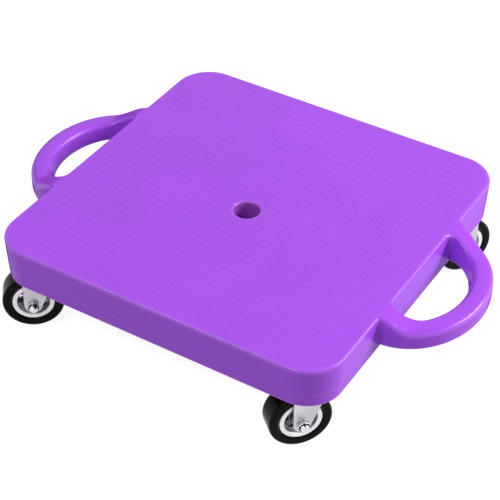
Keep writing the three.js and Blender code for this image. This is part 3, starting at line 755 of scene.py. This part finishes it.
def bolt_distance(x, y, z):
    """Bolt along the upright axis, with its head at the low end."""
    across = np.hypot(x, y)
    under = -bolt_seat - bolt_height - z
    head = soft_meet(hexagon_distance(x, y, bolt_across / 2), np.maximum(under, z + bolt_seat), bolt_edge)
    chamfer = (across - bolt_across / 2) * chamfer_out + under * chamfer_up
    shank = np.maximum(np.maximum(across - bolt_shank, z - bolt_end), -bolt_seat - bolt_into_head - z)
    return soft_union(soft_meet(head, chamfer, chamfer_edge), shank, chamfer_edge)


bolt_lines = grid_lines((-6.2, 6.2, 0.44))
bolt_surface = surface_mesh(bolt_distance, bolt_lines, bolt_lines,
                            grid_lines((-18.3, -13.3, 0.4), (-13.3, 15.9, 4.9), (15.9, 17, 0.5)))
axles = {corner: placings[corner] @ Matrix.Translation((trail, 0, axle_height))
         @ Matrix.Rotation(-math.pi / 2, 4, "X") for corner in corners}
for corner in corners:
    solid_piece(corner + "_hexagon_bolt", bolt_surface, corner + "_swivel", zinc,
                [corner + "_axle_bolt"], axles[corner])


# Domed axle nuts: a chromed cap nut closes each axle on its other side, six flats with a bright turned
# rim, a groove inside it coloured near black as painted shade, and a round dome. It is the brightest small
# thing on the board.
nut_across, nut_seat, nut_flats, nut_bore = 9.0, 13.8, 3.0, 3.3
nut_corner_share, nut_flat_edge, nut_corner_edge, nut_bore_stop, nut_bore_edge = 0.55, 0.4, 0.5, 0.8, 0.3
dome_radius, dome_height, groove_depth, groove_width, groove_edge = 3.7, 4.2, 0.5, 0.45, 0.2
dark_middle, dark_full, dark_gone, dark_height = 0.25, 0.3, 0.6, 0.8

chrome, tree, shader, _, tint, _ = grained_material(
    "mirror_chrome", rgb=(0.66, 0.65, 0.68), change=0.06, metallic=1, rough=(0.07, 0.14),
    specular=0.5, grain_scale=300, mottle_scale=120, depth=0.00001)


def shade_painted(tree, shader, tint, attribute, rgb):
    """Mixes a dark colour over the tint where the point attribute says so, as painted shade."""
    where = tree.nodes.new("ShaderNodeAttribute")
    where.attribute_name = attribute
    darker = colour_over(tree, where.outputs["Fac"], tint.outputs["Result"], rgb)
    tree.links.new(darker, shader.inputs["Base Color"])


# Painted shade: the nut's turned groove is coloured near black
shade_painted(tree, shader, tint, "groove", (0.03, 0.03, 0.04))


def nut_distance(x, y, z):
    """Nut along the upright axis, with its dome at the high end."""
    across, above = np.hypot(x, y), z - nut_seat - nut_flats
    flats = soft_meet(hexagon_distance(x, y, nut_across / 2), np.maximum(nut_seat - z, above), nut_flat_edge)
    flats = soft_meet(flats, across - nut_across * nut_corner_share, nut_corner_edge)
    ring = np.maximum(dome_radius - across, across - dome_radius - groove_width)
    flats = soft_meet(flats, -np.maximum(ring, -groove_depth - above), groove_edge)
    dome = np.hypot(across, np.maximum(above, 0) * dome_radius / dome_height) - dome_radius
    dome = np.maximum(dome, nut_seat - z)
    bore = np.maximum(across - nut_bore, above + nut_bore_stop)
    return soft_meet(np.minimum(flats, dome), -bore, nut_bore_edge)


nut_lines = grid_lines((-5.4, 5.4, 0.3))
nut_surface = surface_mesh(nut_distance, nut_lines, nut_lines, grid_lines((13.5, 21.6, 0.3)))
nut_x, nut_y, nut_z = nut_surface[0].T
# Share of painted shade at each point: full in the groove, fading out beside it
off_groove = np.abs(np.hypot(nut_x, nut_y) - dome_radius - dark_middle)
nut_groove_shade = fade(off_groove, dark_gone, dark_full) * (np.abs(nut_z - nut_seat - nut_flats) < dark_height)
for corner in corners:
    nut = solid_piece(corner + "_domed_nut", nut_surface, corner + "_swivel", chrome,
                      [corner + "_axle_nut"], axles[corner])
    nut.data.attributes.new("groove", "FLOAT", "POINT").data.foreach_set("value", nut_groove_shade)


# Axle sleeves: a plain steel tube round each bolt, clamped between the fork's legs. The hub turns on it.
sleeve_radius, sleeve_bore, sleeve_end, sleeve_inner_edge, sleeve_outer_edge = 4.8, 3.3, 11.2, 0.3, 0.35

sleeve_surface = spun([
    (sleeve_bore, -sleeve_end, sleeve_inner_edge), (sleeve_radius, -sleeve_end, sleeve_outer_edge),
    (sleeve_radius, sleeve_end, sleeve_outer_edge), (sleeve_bore, sleeve_end, sleeve_inner_edge)], around=48)
for corner in corners:
    solid_piece(corner + "_steel_sleeve", sleeve_surface, corner + "_swivel", bearing,
                [corner + "_axle_sleeve"], axles[corner])


# Wheel hubs: a pale moulded wheel centre with a deep rim, a thin web of five tapered spokes and a boss
# that turns on the sleeve. Between rim and boss it is coloured dark as painted shade, and the rim stays pale.
rim_radius, rim_bore, rim_end = 17.2, 13.0, 9.2
boss_radius, hub_bore, boss_end, web_half = 6.8, 5.1, 10.9, 3.5
window_count, window_low, window_high = 5, 8.35, 12.4
window_spread, window_taper, web_overlap = math.radians(22.3), 0.72, 1.0
rim_edge, boss_edge, spoke_edge, window_round, hub_fillet = 1.3, 0.7, 0.9, 1.2, 0.8
recess_from, recess_to, recess_shallow, recess_full = 0.2, 0.6, 0.6, 3.0

hub_plastic, tree, shader, _, tint, _ = grained_material(
    "pale_hub_plastic", rgb=(0.92, 0.89, 0.94), change=0.03, metallic=0.5, rough=(0.26, 0.34),
    specular=0.5, grain_scale=900, mottle_scale=60, depth=0.00003)
# Painted shade: the web between rim and boss gets a dark colour by the point attribute
shade_painted(tree, shader, tint, "recess", (0.115, 0.098, 0.125))


def ring_distance(across, z, low, high, end, edge):
    return soft_meet(soft_meet(across - high, low - across, edge), np.abs(z) - end, edge)


def hub_distance(x, y, z):
    """Hub about the upright axis."""
    across = np.hypot(x, y)
    part = math.tau / window_count
    turn = np.abs(np.mod(np.arctan2(-y, x) + part / 2, part) - part / 2)
    grown = window_taper + (1 - window_taper) * fade(across, window_low, window_high)
    window = soft_meet(across * (turn - window_spread * grown),
                       np.maximum(window_low - across, across - window_high), window_round)
    disc = np.maximum(across - rim_bore - web_overlap, boss_radius - web_overlap - across)
    web = soft_meet(np.maximum(np.abs(z) - web_half, disc), -window, spoke_edge)
    rim = ring_distance(across, z, rim_bore, rim_radius, rim_end, rim_edge)
    boss = ring_distance(across, z, hub_bore, boss_radius, boss_end, boss_edge)
    return soft_union(soft_union(web, rim, hub_fillet), boss, hub_fillet)


hub_lines = grid_lines((-17.7, 17.7, 0.62))
hub_half = grid_lines((0, 2.6, 1.3), (2.6, 5, 0.6), (5, 8, 1.5), (8, 11.5, 0.5))
hub_surface = surface_mesh(hub_distance, hub_lines, hub_lines, np.append(-hub_half[:0:-1], hub_half))
hub_x, hub_y, hub_z = hub_surface[0].T
# Painted shade share: full deep inside the rim, none near its ends
inside_rim = fade(np.hypot(hub_x, hub_y), rim_bore + recess_from, rim_bore - recess_to)
painted_hub_shade = inside_rim * fade(rim_end - np.abs(hub_z), recess_shallow, recess_full)
for corner in corners:
    hub = solid_piece(corner + "_five_spoke_hub", hub_surface, corner + "_wheel", hub_plastic,
                      [corner + "_hub"], axles[corner])
    hub.data.attributes.new("recess", "FLOAT", "POINT").data.foreach_set("value", painted_hub_shade)


# Tyres: a solid ring of glossy black rubber, moulded and pressed onto each hub, with flat sides, a
# bevelled bead and a rounded shoulder.
tyre_bore, tyre_radius, tyre_half, tyre_bead, tyre_shoulder = 17.5, 25.0, 10.0, 1.2, 2.8
tyre_bore_round, tyre_bead_round = 0.3, 0.5

rubber, *_ = grained_material(
    "glossy_black_rubber", rgb=(0.0036, 0.0036, 0.0042), change=0.15, metallic=0, rough=(0.12, 0.18),
    specular=0.055, grain_scale=1200, mottle_scale=40, depth=0.00001)
tyre_surface = spun([
    (tyre_bore, -tyre_half + tyre_bead, tyre_bore_round),
    (tyre_bore + tyre_bead, -tyre_half, tyre_bead_round),
    (tyre_radius, -tyre_half, tyre_shoulder),
    (tyre_radius, tyre_half, tyre_shoulder),
    (tyre_bore + tyre_bead, tyre_half, tyre_bead_round),
    (tyre_bore, tyre_half - tyre_bead, tyre_bore_round)], around=160, steps=6)
for corner in corners:
    solid_piece(corner + "_solid_tyre", tyre_surface, corner + "_wheel", rubber,
                [corner + "_tyre"], axles[corner])


# Photographer's floor: one wide pale sheet that shows as near white and keeps a faint shadow. It isn't
# part of the board. From below it is clear, so that the underside shows.
floor_half, paper_grey, paper_rough, paper_glow = 6.0, 0.30, 0.9, 0.90
floor_mesh = bpy.data.meshes.new("studio_floor")
floor_shape = bmesh.new()
bmesh.ops.create_grid(floor_shape, x_segments=2, y_segments=2, size=floor_half)
floor_shape.to_mesh(floor_mesh)
floor_shape.free()
floor = bpy.data.objects.new("studio_floor", floor_mesh)
bpy.context.scene.collection.objects.link(floor)


def seen_directly(tree):
    """1 where the camera looks, straight, by way of a shiny surface or through glass, and 0 elsewhere."""
    path = tree.nodes.new("ShaderNodeLightPath")
    shiny = node_maths(tree, "MAXIMUM", path.outputs["Is Camera Ray"], path.outputs["Is Glossy Ray"])
    return node_maths(tree, "MAXIMUM", shiny, path.outputs["Is Transmission Ray"])


floor_paper = bpy.data.materials.new("pale_floor_paper")
floor_paper.use_nodes = True
tree = floor_paper.node_tree
shader = tree.nodes["Principled BSDF"]
shader.inputs["Base Color"].default_value = (paper_grey, paper_grey, paper_grey, 1)
shader.inputs["Roughness"].default_value = paper_rough
shader.inputs["Specular IOR Level"].default_value = 0
shader.inputs["Emission Color"].default_value = (1, 1, 1, 1)
glow = node_maths(tree, "MULTIPLY", seen_directly(tree), paper_glow)
tree.links.new(glow, shader.inputs["Emission Strength"])
from_below = tree.nodes.new("ShaderNodeMixShader")
tree.links.new(tree.nodes.new("ShaderNodeNewGeometry").outputs["Backfacing"], from_below.inputs["Fac"])
tree.links.new(shader.outputs["BSDF"], from_below.inputs[1])
tree.links.new(tree.nodes.new("ShaderNodeBsdfTransparent").outputs["BSDF"], from_below.inputs[2])
tree.links.new(from_below.outputs["Shader"], tree.nodes["Material Output"].inputs["Surface"])
floor_mesh.materials.append(floor_paper)


# Studio light: a large soft lamp behind on the right, two small ones in front that draw thin lines of
# light along the edges, and a plain pale room that shows as white.
lamp_aim, room_light, room_seen = (0, 0, 0.08), 0.42, 1.0


def soft_lamp(name, place, size, watts):
    """Round lamp that points at the board."""
    lamp = bpy.data.objects.new(name, bpy.data.lights.new(name, "AREA"))
    lamp.data.shape = "DISK"
    lamp.data.size = size
    lamp.data.energy = watts
    lamp.location = place
    lamp.rotation_euler = (Vector(place) - Vector(lamp_aim)).to_track_quat("Z", "Y").to_euler()
    bpy.context.scene.collection.objects.link(lamp)


soft_lamp("right_softbox", place=(1.42, 0.86, 0.98), size=1.1, watts=34)
soft_lamp("front_lamp", place=(-0.15, -1.35, 1.55), size=0.26, watts=7)
soft_lamp("left_lamp", place=(-0.84, -1.26, 1.53), size=0.22, watts=5)
room = bpy.data.worlds.new("pale_room")
room.use_nodes = True
tree = room.node_tree
plain = tree.nodes["Background"]
plain.inputs["Color"].default_value = (1, 1, 1, 1)
tree.links.new(node_span(tree, seen_directly(tree), 0, 1, room_light, room_seen), plain.inputs["Strength"])
bpy.context.scene.world = room


# Camera: where the photograph was taken from, with its view centred and its focal length in pixels
view_azimuth, view_elevation, view_roll = math.radians(31.1615), math.radians(39.302), math.radians(0.6727)
focal_pixels, frame_pixels, film = 1555.2866, 500, 36.0
aim, distance_off = Vector((0.028813, -0.051903, 0.0933)), 1.200893
back = Vector((math.sin(view_azimuth) * math.cos(view_elevation),
               -math.cos(view_azimuth) * math.cos(view_elevation), math.sin(view_elevation)))
level = Vector((0, 0, 1)).cross(back).normalized()
upward = back.cross(level)
right = level * math.cos(view_roll) + upward * math.sin(view_roll)
upward = upward * math.cos(view_roll) - level * math.sin(view_roll)
camera = bpy.data.objects.new("photo_camera", bpy.data.cameras.new("photo_camera"))
camera.data.sensor_width = film
camera.data.lens = focal_pixels / frame_pixels * film
camera.matrix_world = Matrix.Translation(aim + back * distance_off) @ Matrix(
    (right, upward, back)).transposed().to_4x4()
bpy.context.scene.collection.objects.link(camera)
bpy.context.scene.camera = camera
bpy.context.scene.view_settings.view_transform = "Standard"
